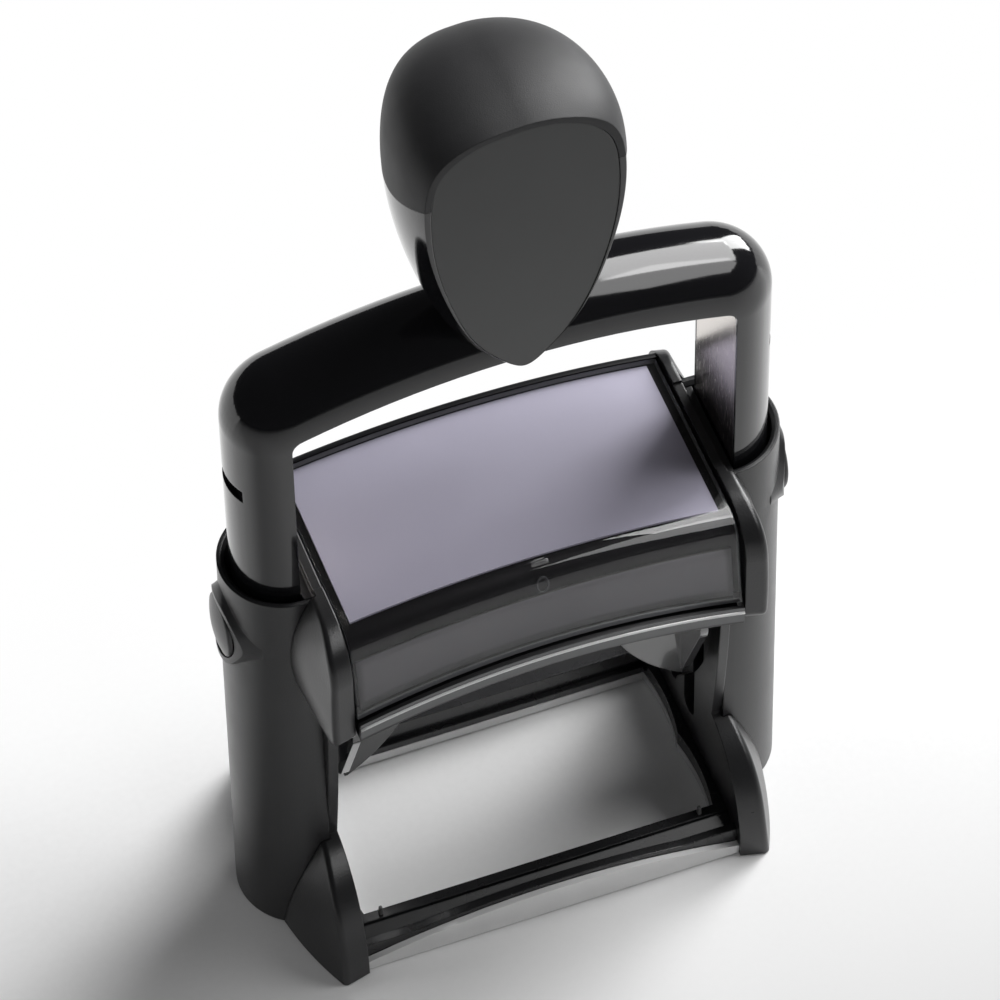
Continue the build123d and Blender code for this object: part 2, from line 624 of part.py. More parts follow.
def yoke_side():
    """One corner and one hollow leg, on the right."""
    x, z, lean = corner_frame()
    axis = Axis((x, 0, z), (0, 1, 0))
    plane = Plane(origin=(x, 0, 0), x_dir=(0, 1, 0), z_dir=(1, 0, 0))
    section = (plane * half_round(z + YOKE_CORNER_R, YOKE_R)).rotate(axis, lean)
    corner = revolve(section, axis, revolution_arc=90 - lean)
    leg = plan_prism(leg_section(YOKE_R, YOKE_X), LEG_BOTTOM_Z, z)
    cavity_top = SPRING_Z + SPRING_LEN
    inner = leg_section(YOKE_R - LEG_WALL, YOKE_X + SIDE_PLATE_T)
    leg -= plan_prism(inner, LEG_BOTTOM_Z - 1, cavity_top)
    half = SIDE_PLATE_W / 2 + FIT / 2
    leg -= box(YOKE_X - 1, YOKE_X + SIDE_PLATE_T, -half, half, LEG_BOTTOM_Z - 1, z)
    for up in (0, PRESS_TRAVEL):
        mid = BUTTON_MID_Z + up
        start = YOKE_X + YOKE_R - LEG_WALL - FIT
        leg -= box(start, start + 5, -YOKE_R, YOKE_R, mid - NOTCH_H / 2, mid + NOTCH_H / 2)
    return corner + leg


def yoke():
    right, left = both(yoke_side())
    return bar() + right + left


def side_plate():
    """Polished steel plate on the flat of a leg, which carries the axle."""
    _, z, _ = corner_frame()
    half = SIDE_PLATE_W / 2
    points = [(-half, LEG_BOTTOM_Z), (half, LEG_BOTTOM_Z), (half, z - 0.2), (-half, z - 0.2)]
    plate = side_prism(outline(points, [4.0, 4.0, 0, 0]), YOKE_X, YOKE_X + SIDE_PLATE_T)
    hole = Pos(0, AXLE_Z) * Circle(AXLE_R + 0.02)
    sink = Pos(0, AXLE_Z) * Circle(AXLE_HEAD_R + 0.02)
    head_x = YOKE_X + SIDE_PLATE_T - AXLE_HEAD_T
    plate -= side_prism(hole, YOKE_X - 1, YOKE_X + SIDE_PLATE_T + 1)
    return plate - side_prism(sink, head_x, head_x + 2)


def axle_pin():
    shank = Pos(0, AXLE_Z) * Circle(AXLE_R)
    head = Pos(0, AXLE_Z) * Circle(AXLE_HEAD_R)
    end = YOKE_X + SIDE_PLATE_T
    pin = side_prism(shank, ARM_IN_X - 2.0, end)
    return pin + side_prism(head, end - AXLE_HEAD_T, end)


def return_spring():
    radius = (SPRING_OD - SPRING_WIRE) / 2
    height = SPRING_LEN - SPRING_WIRE - 0.4
    path = Helix(pitch=height / SPRING_TURNS, height=height, radius=radius)
    start = Plane(origin=path @ 0, z_dir=path % 0)
    coil = sweep(start * Rectangle(SPRING_WIRE, SPRING_WIRE), path=path, is_frenet=True)
    return Pos(SPRING_X, 0, SPRING_Z + SPRING_WIRE / 2 + 0.2) * coil


def lock_button():
    """Oval push button with a pawl that drops into a notch of the leg."""
    pawl_x = YOKE_X + COVER_IN_R
    body_x = YOKE_X + YOKE_R + BUTTON_TRAVEL + 0.3
    plane = Plane(origin=(body_x, 0, BUTTON_MID_Z), x_dir=(0, 1, 0), z_dir=(1, 0, 0))
    crest = COVER_R + BUTTON_PROUD
    body = extrude(plane * button_face(0), amount=YOKE_X + crest + 1 - body_x)
    end, reach = crest - BUTTON_DOME, BUTTON_Z / 2
    low, high = BUTTON_MID_Z - reach, BUTTON_MID_Z + reach
    dome = ThreePointArc((end, low), (crest, BUTTON_MID_Z), (end, high))
    section = loop(dome, Line((end, high), (0, high)), Line((0, high), (0, low)),
                   Line((0, low), (end, low)))
    body &= around_column(section)
    body = fillet(body.faces().sort_by(Axis.X)[-1].edges(), BUTTON_EDGE_R)
    half = PAWL_W / 2
    pawl = box(pawl_x, body_x + 0.5, -half, half,
               BUTTON_MID_Z - PAWL_T / 2, BUTTON_MID_Z + PAWL_T / 2)
    return body + pawl


# ---------------------------------------------------------------- carriage
def plate_carrier():
    """Stiff tray under the text plate, ribbed underneath."""
    top = AXLE_Z + AXLE_TO_FACE - PLATE_T - CUSHION_T
    half_y = PLATE_DEPTH / 2
    carrier = box(-CARRIER_X, CARRIER_X, -half_y, half_y, top - 2.2, top)
    for x in (-18, -9, 0, 9, 18):
        carrier += box(x - 0.7, x + 0.7, -half_y + 1, half_y - 1, top - 4.6, top - 2)
    for y in (-half_y + 1.6, half_y - 1.6):
        carrier += box(-CARRIER_X, CARRIER_X, y - 0.7, y + 0.7, top - 4.6, top - 2)
    return carrier


def cushion():
    top = AXLE_Z + AXLE_TO_FACE - PLATE_T
    half_x, half_y = PLATE_LEN / 2, PLATE_DEPTH / 2
    return box(-half_x, half_x, -half_y, half_y, top - CUSHION_T, top)


def text_plate():
    top = AXLE_Z + AXLE_TO_FACE
    half_x, half_y = PLATE_LEN / 2, PLATE_DEPTH / 2
    return box(-half_x, half_x, -half_y, half_y, top - PLATE_T, top)


def arm_web():
    """Rounded web that hangs under each end of the plate carrier."""
    top = AXLE_Z + AXLE_TO_FACE - PLATE_T - CUSHION_T - 4.8
    low = AXLE_Z - 18.6
    inner = ARM_IN_X - 13.0
    arc = ThreePointArc((inner, top), (inner + 3.2, top - 11.5), (ARM_IN_X, low))
    edges = [arc, Line((ARM_IN_X, low), (ARM_IN_X + 0.5, low)),
             Line((ARM_IN_X + 0.5, low), (ARM_IN_X + 0.5, top)),
             Line((ARM_IN_X + 0.5, top), (inner, top))]
    return front_prism(loop(*edges), -5.0, 5.0)


def turn_arm():
    """End piece of the carriage: end wall, web, axle boss and cam pin."""
    half = PLATE_DEPTH / 2
    face_z = AXLE_Z + AXLE_TO_FACE - 0.4
    points = [(-half, face_z), (-half, AXLE_Z + 1), (-5.0, AXLE_Z - 18.6),
              (5.0, AXLE_Z - 18.6), (half, AXLE_Z + 1), (half, face_z)]
    wall = side_prism(outline(points, [0.5, 6.0, 4.0, 4.0, 6.0, 0.5]), ARM_IN_X, LINK_X)
    boss = Pos(0, AXLE_Z) * Circle(AXLE_R + 2.6)
    eye = Pos(*cam_point(0)) * Circle(CAM_PIN_R + 1.2)
    strap = Pos(-CAM_R / 2, AXLE_Z) * Rectangle(CAM_R, 2 * (CAM_PIN_R + 1.2))
    link = side_prism(boss + eye + strap, LINK_X - 0.5, LINK_OUT_X)
    pin = side_prism(Pos(*cam_point(0)) * Circle(CAM_PIN_R),
                     LINK_OUT_X - 0.5, CHASSIS_X + CAM_DEPTH - 0.2)
    bore = side_prism(Pos(0, AXLE_Z) * Circle(AXLE_R + RUN_CLEAR), ARM_IN_X - 4, CHEEK_X)
    return wall + arm_web() + link + pin - bore


# ---------------------------------------------------------------- knob
SHIELD_SHAPE = [(0.0, 0.0), (0.43, 0.015), (0.86, 0.09), (1.0, 0.24), (0.97, 0.42),
                (0.8, 0.64), (0.5, 0.85), (0.2, 0.96), (0.0, 1.0)]


def shield(width, top, bottom):
    """Shield outline in X and Z: broad round shoulders and a narrow tip."""
    half = width / 2
    height = top - bottom
    right = [(half * u, top - height * v) for u, v in SHIELD_SHAPE]
    left = [(-x, z) for x, z in reversed(right[1:-1])]
    return make_face(Spline(*right, *left, periodic=True))


def knob_scale(y):
    """Size of the knob's section at a depth, as a share of its largest section."""
    reach = KNOB_BACK_Y - KNOB_WIDE_Y if y > KNOB_WIDE_Y else KNOB_FORWARD
    share = abs(y - KNOB_WIDE_Y) / reach
    return sqrt(1 - share ** 2)


def knob_envelope():
    """Egg-shaped knob lofted from front to back between shield sections."""
    waist = BAR_Z + KNOB_WAIST_UP
    above = KNOB_TOP_UP - KNOB_WAIST_UP
    below = KNOB_WAIST_UP - KNOB_TIP_UP
    faces = []
    for y in (-KNOB_FRONT_Y - 1, -11.5, -8.0, -4.0, 0.0, 4.0, 8.0, 11.2, 13.8, 15.5, 16.5):
        scale = knob_scale(y)
        plane = Plane(origin=(0, y, 0), x_dir=(1, 0, 0), z_dir=(0, -1, 0))
        high = waist + above * scale
        low = waist - below * scale
        faces.append(plane * shield(KNOB_W * scale, high, low))
    return loft(faces)


def badge_curve(depth):
    """Front surface of the badge in Y and Z: nearly upright, drawn in at the tip."""
    y = -KNOB_FRONT_Y + depth
    return ThreePointArc((y + 1.3, BAR_Z + KNOB_TOP_UP + 4), (y, BAR_Z + 31),
                         (y + 1.6, BAR_Z - 2))


def ahead_of(depth):
    """Everything in front of the badge surface, set back by a depth."""
    curve = badge_curve(depth)
    a, b = curve @ 0, curve @ 1
    far = -KNOB_FRONT_Y - 12
    face = loop(curve, Line((b.X, b.Y), (far, b.Y)), Line((far, b.Y), (far, a.Y)),
                Line((far, a.Y), (a.X, a.Y)))
    return side_prism(face, -KNOB_W, KNOB_W)


def badge_prism(gap):
    top = BAR_Z + KNOB_TOP_UP - BADGE_DROP + gap
    face = shield(SHIELD_W + 2 * gap, top, top - SHIELD_H - 2 * gap)
    return front_prism(face, -KNOB_FRONT_Y - 10, 0)


def above_seam():
    """Everything over the seam between the soft cap and the gloss body."""
    a = (-KNOB_FRONT_Y - 1, BAR_Z + SEAM_FRONT_UP)
    b = (KNOB_BACK_Y + 1, BAR_Z + SEAM_BACK_UP)
    top = BAR_Z + KNOB_TOP_UP + 10
    arc = ThreePointArc(a, (0, BAR_Z + SEAM_MID_UP), b)
    rest = [Line(b, (b[0], top)), Line((b[0], top), (a[0], top)), Line((a[0], top), a)]
    return side_prism(loop(arc, *rest), -KNOB_W, KNOB_W)


def knob_parts():
    whole = knob_envelope() - ahead_of(0)
    pocket = badge_prism(FIT) & ahead_of(SHIELD_T + FIT)
    whole -= pocket
    cap_zone = above_seam()
    badge = (badge_prism(0) & ahead_of(SHIELD_T)) - ahead_of(0.15)
    body = whole - cap_zone - bar()
    return max(body.solids(), key=lambda s: s.volume), whole & cap_zone, badge


# ---------------------------------------------------------------- export
def write(name, part):
    export_step(part, "parts/" + name + ".step")


def main():
    os.makedirs("parts", exist_ok=True)
    pairs = {
        "side_frame": side_frame(),
        "column_cover": column_cover(),
        "lock_button": lock_button(),
        "side_plate": side_plate(),
        "axle_pin": axle_pin(),
        "return_spring": return_spring(),
        "turn_arm": turn_arm(),
    }
    for name, part in pairs.items():
        right, left = both(part)
        write("right_" + name, right)
        write("left_" + name, left)
    write("base_frame", base_frame())
    write("positioning_frame", positioning_frame())
    write("pad_bridge", bridge())
    write("index_card", index_card())
    write("front_label", front_label())
    write("hood", hood())
    write("pad_tray", pad_tray())
    write("ink_pad", ink_pad())
    write("yoke", yoke())
    write("plate_carrier", plate_carrier())
    write("cushion", cushion())
    write("text_plate", text_plate())
    body, cap, badge = knob_parts()
    write("knob_body", body)
    write("knob_cap", cap)
    write("badge_plate", badge)


main()
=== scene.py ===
from math import atan, cos, pi, radians, sin, sqrt

import bmesh
import bpy
from mathutils import Matrix, Vector

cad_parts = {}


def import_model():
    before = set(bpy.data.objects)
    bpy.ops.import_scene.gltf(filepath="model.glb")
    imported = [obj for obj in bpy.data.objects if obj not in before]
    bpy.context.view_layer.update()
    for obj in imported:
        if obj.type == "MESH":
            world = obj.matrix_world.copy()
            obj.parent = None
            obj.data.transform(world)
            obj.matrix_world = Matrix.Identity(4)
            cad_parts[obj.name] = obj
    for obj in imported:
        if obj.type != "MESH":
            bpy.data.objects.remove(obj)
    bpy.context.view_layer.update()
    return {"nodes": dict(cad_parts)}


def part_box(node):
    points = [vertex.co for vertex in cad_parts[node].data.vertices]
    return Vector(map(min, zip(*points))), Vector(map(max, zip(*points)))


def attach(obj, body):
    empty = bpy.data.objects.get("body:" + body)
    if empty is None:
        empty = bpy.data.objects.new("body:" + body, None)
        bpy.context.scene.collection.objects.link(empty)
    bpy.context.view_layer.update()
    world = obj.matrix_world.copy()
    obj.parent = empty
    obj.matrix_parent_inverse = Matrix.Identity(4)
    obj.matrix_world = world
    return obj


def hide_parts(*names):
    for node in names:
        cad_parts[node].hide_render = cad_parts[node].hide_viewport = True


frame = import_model()
NODES = frame["nodes"]
MM = 0.001

# ---------------------------------------------------------------- studio settings
CAMERA_PLACE = (-0.2036, -0.5716, 0.8622)
CAMERA_YAW = 19.604
CAMERA_PITCH = 52.191
CAMERA_ROLL = -1.089
CAMERA_LENS = 234
FLOOR_SIZE = 6.0
FLOOR_WHITE_START = 0.012     # where the floor starts to fade into the white background
FLOOR_WHITE_END = 0.075
FLOOR_PAINTED_SHADE_Y = (-0.07, 0.01)  # painted shade: the floor's colour gets darker towards the front between these, standing in for light falling off
LIGHT_AIM = (0, 0, 0.07)
LIGHT_AWAY = 1.2
DIM_ROOM = 0.035              # what mirrors see of the room, besides the lights

# ---------------------------------------------------------------- sizes of the own pieces
COLUMNS = 49                  # vertices along X of the arched sheets and strips
CROWN = 171 * MM              # radius of the hood's arch
HOOD_SKIN = 1.2 * MM
HOOD_BEND = 4.0 * MM
HOOD_TOP_Y = 20.0 * MM
HOOD_SLOPE = 0.1558           # how the front leans out, per unit of drop
HOOD_STEPS = 8                # steps along each stretch of the hood's section
LABEL_GAP = 0.12 * MM         # label behind the hood's inner face
LABEL_UP = 0.2 * MM           # its lower edge above the hood's
LABEL_T = 0.35 * MM
LABEL_STEPS = 6
LIP_BOW = 4.3 * MM            # bow of the lip over the hood's length
LIP_GAP = 0.12 * MM           # lip's trims below the hood's lower edge
LIP_END_GAP = 0.1 * MM
LIP_BAND = 0.8 * MM
LIP_SHEET = 0.06 * MM         # how far the flat trims stand out
BEAD = 0.6 * MM
BEAD_OUT = 0.35 * MM
LIP_FOOT = 1.9 * MM
PLATE_RELIEF = 0.6 * MM       # raised rubber over the sheet
PLATE_MARGIN = 1.2 * MM       # sheet beyond the raised frame
PLATE_LINE = 0.6 * MM         # width of the frame
PLATE_BAR = 0.9 * MM          # half the height of a blank bar
PLATE_DRAFT = 0.12 * MM
PLATE_SUNK = 0.3 * MM         # foot of the relief inside the sheet
PEG_PLACE = (27.2 * MM, -16.1 * MM, 5.7 * MM)
PEG_SIZE = (0.7 * MM, 0.9 * MM, 1.8 * MM)
PEG_TAPER = 0.75
EYE_HALF = (0.9 * MM, 1.5 * MM)
EYE_TUBE = 0.22 * MM
EYE_DROP = 4.6 * MM           # eye below the top of the hood
TAB_HALF = 1.5 * MM
TAB_Y = (-17.6 * MM, -16.9 * MM)


# ---------------------------------------------------------------- node helpers
class Nodes:
    """A material's node tree with short calls for adding and linking nodes."""

    def __init__(self, name):
        self.material = bpy.data.materials.new(name)
        self.material.use_nodes = True
        self.tree = self.material.node_tree
        self.tree.nodes.clear()
        self.out = self.tree.nodes.new("ShaderNodeOutputMaterial")

    def add(self, kind, **inputs):
        node = self.tree.nodes.new("ShaderNode" + kind)
        for key, value in inputs.items():
            if hasattr(node, key):
                setattr(node, key, value)
            else:
                socket = node.inputs[key.replace("_", " ")]
                self.feed(socket, value)
        return node

    def feed(self, socket, value):
        if isinstance(value, bpy.types.NodeSocket):
            self.tree.links.new(value, socket)
        elif socket.type == "RGBA":
            socket.default_value = (*value, 1) if len(value) == 3 else value
        else:
            socket.default_value = value

    def surface(self, shader):
        self.tree.links.new(shader.outputs[0], self.out.inputs["Surface"])
        return self.material

    def place(self):
        return self.add("TexCoord").outputs["Object"]

    def noise(self, size, detail=3.0, rough=0.5, place=None):
        """Noise whose blotches are about the given size in metres."""
        vector = place or self.place()
        return self.add("TexNoise", Vector=vector, Scale=1 / size, Detail=detail,
                        Roughness=rough).outputs["Fac"]

    def remap(self, value, low, high, start=0.3, end=0.7):
        node = self.add("MapRange", Value=value)
        for key, number in (("From Min", start), ("From Max", end),
                            ("To Min", low), ("To Max", high)):
            node.inputs[key].default_value = number
        return node.outputs[0]

    def edges(self, radius):
        return self.add("Bevel", samples=6, Radius=radius).outputs["Normal"]

    def bump(self, height, depth, normal=None):
        node = self.add("Bump", Height=height, Distance=depth, Strength=1.0)
        if normal is not None:
            self.feed(node.inputs["Normal"], normal)
        return node.outputs["Normal"]

    def mix_color(self, fac, a, b):
        node = self.add("Mix", data_type="RGBA")
        self.feed(node.inputs[0], fac)
        self.feed(node.inputs[6], a)
        self.feed(node.inputs[7], b)
        return node.outputs[2]

    def mix_shader(self, fac, a, b):
        node = self.add("MixShader", Fac=fac)
        self.tree.links.new(a.outputs[0], node.inputs[1])
        self.tree.links.new(b.outputs[0], node.inputs[2])
        return node


def shade(rgb, factor):
    return tuple(c * factor for c in rgb)


def moulded_plastic(name, color, rough, grain=0.0, grain_size=0.35 * MM, edge=0.3 * MM,
                    coat=0.0, dust=0.12, shine=0.5):
    """Moulded plastic: a fine grain or a faint wave, uneven gloss and rounded edges."""
    n = Nodes(name)
    blotch = n.noise(14 * MM, 4)
    tone = n.mix_color(n.remap(blotch, 0, 1), color, shade(color, 1 + dust))
    roughness = n.remap(n.noise(5 * MM, 2), rough * 0.93, rough * 1.07, 0.2, 0.8)
    normal = n.edges(edge) if edge else None
    if grain:
        normal = n.bump(n.noise(grain_size, 2, 0.6), grain, normal)
    else:
        normal = n.bump(n.noise(9 * MM, 2), 0.02 * MM, normal)
    bsdf = n.add("BsdfPrincipled", Base_Color=tone, Roughness=roughness, Normal=normal)
    bsdf.inputs["IOR"].default_value = 1.5
    bsdf.inputs["Specular IOR Level"].default_value = shine
    bsdf.inputs["Coat Weight"].default_value = coat
    bsdf.inputs["Coat Roughness"].default_value = 0.06
    return n.surface(bsdf)


def clear_plastic(name, tint, haze, rough=0.03, milk=(0.80, 0.80, 0.80)):
    """Clear moulded plastic: seen through, with a Fresnel reflection and a faint haze."""
    n = Nodes(name)
    ripple = n.bump(n.noise(12 * MM, 2), 0.03 * MM)
    through = n.add("BsdfTransparent", Color=tint)
    body = n.add("BsdfPrincipled", Base_Color=milk, Roughness=0.35)
    misted = n.remap(n.noise(6 * MM, 2), haze * 0.96, haze * 1.04, 0.2, 0.8)
    milky = n.mix_shader(misted, through, body)
    gloss = n.add("BsdfAnisotropic", Roughness=rough, Normal=ripple)
    fresnel = n.add("Fresnel", IOR=1.62, Normal=ripple)
    outside = n.add("Math", operation="SUBTRACT")
    outside.inputs[0].default_value = 1
    n.feed(outside.inputs[1], n.add("NewGeometry").outputs["Backfacing"])
    shine = n.add("Math", operation="MULTIPLY")
    n.feed(shine.inputs[0], fresnel.outputs[0])
    n.feed(shine.inputs[1], outside.outputs[0])
    return n.surface(n.mix_shader(shine.outputs[0], milky, gloss))


def brushed_steel(name):
    """Polished steel with fine upright brushing."""
    n = Nodes(name)
    stretch = n.add("Mapping", Vector=n.place())
    stretch.inputs["Scale"].default_value = (1.0, 1.0, 0.03)
    brush = n.noise(0.12 * MM, 3, 0.6, stretch.outputs[0])
    tone = n.mix_color(n.remap(brush, 0, 1), (0.66, 0.62, 0.58), (0.76, 0.71, 0.67))
    bsdf = n.add("BsdfPrincipled", Base_Color=tone, Metallic=1.0,
                 Roughness=n.remap(brush, 0.18, 0.28),
                 Normal=n.bump(brush, 0.001 * MM, n.edges(0.2 * MM)))
    return n.surface(bsdf)


def spring_wire(name):
    n = Nodes(name)
    spots = n.noise(1.5 * MM, 3)
    bsdf = n.add("BsdfPrincipled", Base_Color=(0.55, 0.55, 0.55), Metallic=1.0,
                 Roughness=n.remap(spots, 0.22, 0.4))
    return n.surface(bsdf)


def printed_card(name):
    """Lavender-grey card with paper fibre, its tone darkened below the card's own as painted
    shade for the shade under the hood.
    """
    n = Nodes(name)
    fibre = n.noise(0.25 * MM, 5, 0.7)
    wash = n.noise(20 * MM, 2)
    # the lavender tint is the card's own; its darkness is partly painted shade for the shade it
    # lies in under the hood
    tone = n.mix_color(n.remap(wash, 0, 1), (0.44, 0.44, 0.525), (0.47, 0.47, 0.56))
    tone = n.mix_color(n.remap(fibre, 0, 0.12), tone, (0.55, 0.55, 0.63))
    bsdf = n.add("BsdfPrincipled", Base_Color=tone, Roughness=0.7,
                 Normal=n.bump(fibre, 0.01 * MM))
    return n.surface(bsdf)


def felt(name):
    """Ink-soaked felt."""
    n = Nodes(name)
    fibre = n.noise(0.5 * MM, 6, 0.75)
    soak = n.noise(12 * MM, 3)
    tone = n.mix_color(n.remap(soak, 0, 1), (0.012, 0.012, 0.02), (0.03, 0.03, 0.045))
    bsdf = n.add("BsdfPrincipled", Base_Color=tone, Roughness=n.remap(fibre, 0.6, 0.95),
                 Normal=n.bump(fibre, 0.25 * MM))
    bsdf.inputs["Sheen Weight"].default_value = 0.3
    return n.surface(bsdf)


def stamp_rubber(name, color, pore):
    n = Nodes(name)
    speck = n.noise(pore, 4, 0.6)
    tone = n.mix_color(n.remap(speck, 0, 1), shade(color, 0.85), shade(color, 1.1))
    bsdf = n.add("BsdfPrincipled", Base_Color=tone, Roughness=0.75,
                 Normal=n.bump(speck, 0.06 * MM, n.edges(0.2 * MM)))
    return n.surface(bsdf)


def dress(material, *names):
    """Give CAD nodes a material."""
    for name in names:
        mesh = NODES[name].data
        mesh.materials.clear()
        mesh.materials.append(material)


def both_sides(name):
    return "left_" + name, "right_" + name


# ---------------------------------------------------------------- materials of the CAD pieces
def dress_frame():
    dress(moulded_plastic("frame_black", (0.016, 0.016, 0.017), 0.29, 0.03 * MM, 0.30 * MM),
          *both_sides("side_frame"))
    dress(moulded_plastic("column_black", (0.017, 0.017, 0.018), 0.31, 0.025 * MM, 0.25 * MM),
          *both_sides("column_cover"), *both_sides("lock_button"))
    dress(moulded_plastic("inner_black", (0.012, 0.012, 0.013), 0.4),
          "pad_tray", "plate_carrier")
    dress(moulded_plastic("rail_black", (0.011, 0.011, 0.012), 0.27, coat=0.1), "base_frame")
    dress(moulded_plastic("gloss_black", (0.006, 0.006, 0.007), 0.10, coat=0.4),
          "yoke", "knob_body")
    dress(moulded_plastic("soft_black", (0.011, 0.011, 0.012), 0.56, 0.02 * MM, 0.2 * MM,
                          dust=0.5), "knob_cap")
    dress(moulded_plastic("deck_black", (0.004, 0.004, 0.005), 0.5, edge=0.15 * MM, shine=0.15),
          "pad_bridge")
    dress(moulded_plastic("arm_black", (0.045, 0.045, 0.046), 0.15, coat=1.0),
          *both_sides("turn_arm"))
    dress(moulded_plastic("badge_grey", (0.024, 0.025, 0.025), 0.30, edge=0), "badge_plate")
    dress(printed_card("card"), "index_card")
    dress(clear_plastic("clear_base", (0.95, 0.95, 0.95), 0.7, milk=(0.9, 0.9, 0.9)),
          "positioning_frame")
    dress(brushed_steel("steel"), *both_sides("side_plate"), *both_sides("axle_pin"))
    dress(spring_wire("spring_wire"), *both_sides("return_spring"))


# ---------------------------------------------------------------- own pieces
def new_piece(name, bm, materials, body, smooth=True):
    """Turn a bmesh into a piece that rides on a body."""
    bmesh.ops.recalc_face_normals(bm, faces=bm.faces)
    mesh = bpy.data.meshes.new(name)
    bm.to_mesh(mesh)
    bm.free()
    for polygon in mesh.polygons:
        polygon.use_smooth = smooth
    for material in materials:
        mesh.materials.append(material)
    obj = bpy.data.objects.new(name, mesh)
    bpy.context.scene.collection.objects.link(obj)
    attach(obj, body)
    return obj


def rounded_edges(obj, width):
    bevel = obj.modifiers.new("edges", "BEVEL")
    bevel.width = width
    bevel.segments = 2
    bevel.limit_method = "ANGLE"
    bevel.angle_limit = radians(40)
    bevel.harden_normals = True


def spread(half):
    """Places along X from end to end of an arched piece."""
    return [-half + 2 * half * i / (COLUMNS - 1) for i in range(COLUMNS)]


def arch_z(top, x, drop):
    """Height of a point at x, at a drop below the crown measured across the arch."""
    return top - CROWN + sqrt((CROWN - drop) ** 2 - x * x)


def arch_drop(top, x, z):
    return CROWN - sqrt((z - (top - CROWN)) ** 2 + x * x)


def sheet_faces(bm, rows):
    for a, b in zip(rows, rows[1:]):
        for j in range(len(a) - 1):
            bm.faces.new((a[j], b[j], b[j + 1], a[j + 1]))


def thicken(obj, thickness):
    """Give a sheet a thickness behind its face, with the second material on its rim."""
    shell = obj.modifiers.new("thickness", "SOLIDIFY")
    shell.thickness = thickness
    shell.offset = -1
    shell.use_rim = True
    shell.material_offset_rim = 1


def hood_profile(rear):
    """Y and drop below the crown along the hood's section, down to the end of its bend."""
    lean = HOOD_SLOPE
    tilt = sqrt(1 + lean * lean)
    corner_y = -HOOD_TOP_Y + lean * HOOD_BEND
    run = HOOD_BEND * (tilt - lean)
    bend_y = corner_y + run
    points = [(rear + (bend_y - rear) * i / HOOD_STEPS, 0) for i in range(HOOD_STEPS)]
    start, end = pi / 2, pi - atan(lean)
    for i in range(HOOD_STEPS + 1):
        a = start + (end - start) * i / HOOD_STEPS
        points.append((bend_y + HOOD_BEND * cos(a), HOOD_BEND * (1 - sin(a))))
    return points, corner_y


def clear_hood():
    """Clear arched hood: crowned top, bent edge, leaning front with an arched lower edge."""
    low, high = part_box("hood")
    half, top = high[0], high[2]
    section, corner_y = hood_profile(high[1])
    bend_drop = section[-1][1]
    bm = bmesh.new()
    rows = []
    for x in spread(half):
        edge_z = low[2] + LIP_BOW * (1 - (x / half) ** 2)
        end_drop = arch_drop(top, x, edge_z)
        profile = list(section)
        for k in range(1, HOOD_STEPS + 1):
            drop = bend_drop + (end_drop - bend_drop) * k / HOOD_STEPS
            profile.append((corner_y - HOOD_SLOPE * drop, drop))
        rows.append([bm.verts.new((x, y, arch_z(top, x, drop))) for y, drop in profile])
    sheet_faces(bm, rows)
    clear = clear_plastic("clear_hood", (0.97, 0.96, 0.97), 0.004)
    edge = clear_plastic("hood_edge", (0.85, 0.87, 0.88), 0.8, 0.08, (0.13, 0.135, 0.14))
    hood = new_piece("hood_shell", bm, (clear, edge), "cover")
    if hood.data.polygons[0].normal.z < 0:
        hood.data.flip_normals()
    thicken(hood, HOOD_SKIN)
    rounded_edges(hood, 0.25 * MM)
    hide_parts("hood")


def label_sheet():
    """Grey sheet behind the hood's leaning front, with an arched lower edge and a near-black rim
    that is painted shade.
    """
    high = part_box("front_label")[1]
    hood_low, hood_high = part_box("hood")
    span, top = hood_high[0], hood_high[2]
    corner_y = -HOOD_TOP_Y + HOOD_SLOPE * HOOD_BEND + HOOD_SKIN + LABEL_GAP
    start = top - high[2]
    bm = bmesh.new()
    rows = []
    for x in spread(high[0]):
        edge_z = hood_low[2] + LABEL_UP + LIP_BOW * (1 - (x / span) ** 2)
        end = arch_drop(top, x, edge_z)
        row = []
        for k in range(LABEL_STEPS + 1):
            drop = start + (end - start) * k / LABEL_STEPS
            row.append(bm.verts.new((x, corner_y - HOOD_SLOPE * drop, arch_z(top, x, drop))))
        rows.append(row)
    sheet_faces(bm, rows)
    grey = moulded_plastic("label_grey", (0.10, 0.102, 0.105), 0.45, edge=0)
    # the rim is near black as painted shade, taking away the light the sheet's top edge would
    # catch
    rim = moulded_plastic("label_rim_painted_shade", (0.02, 0.02, 0.02), 0.6, edge=0)
    sheet = new_piece("label_sheet", bm, (grey, rim), "housing")
    if sheet.data.polygons[0].normal.y > 0:
        sheet.data.flip_normals()
    thicken(sheet, LABEL_T)
    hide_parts("front_label")


def ring(bm, half_x, half_y, radius, z, pull=0.0):
    """Rounded rectangle of vertices whose sides pull in between the corners."""
    verts = []
    side = 10
    corner = 5
    for cx, cy, turn in ((1, 1, 0), (-1, 1, 1), (-1, -1, 2), (1, -1, 3)):
        for i in range(corner + 1):
            a = (turn + i / corner) * pi / 2
            verts.append((cx * (half_x - radius) + radius * cos(a),
                          cy * (half_y - radius) + radius * sin(a)))
        nx, ny = ((-cx, cy), (cx, -cy))[turn % 2]
        x0, y0 = verts[-1]
        a = (turn + 1) * pi / 2
        x1 = nx * (half_x - radius) + radius * cos(a)
        y1 = ny * (half_y - radius) + radius * sin(a)
        verts += [(x0 + (x1 - x0) * i / side, y0 + (y1 - y0) * i / side) for i in range(1, side)]
    out = []
    for x, y in verts:
        along_x = max(0.0, 1 - (x / half_x) ** 2)
        along_y = max(0.0, 1 - (y / half_y) ** 2)
        px = x * (1 - pull * along_y / half_x * abs(x) / half_x)
        py = y * (1 - pull * along_x / half_y * abs(y) / half_y)
        out.append(bm.verts.new((px, py, z)))
    return out


def bridge_rings(bm, a, b):
    count = len(a)
    for i in range(count):
        j = (i + 1) % count
        bm.faces.new((a[i], a[j], b[j], b[i]))


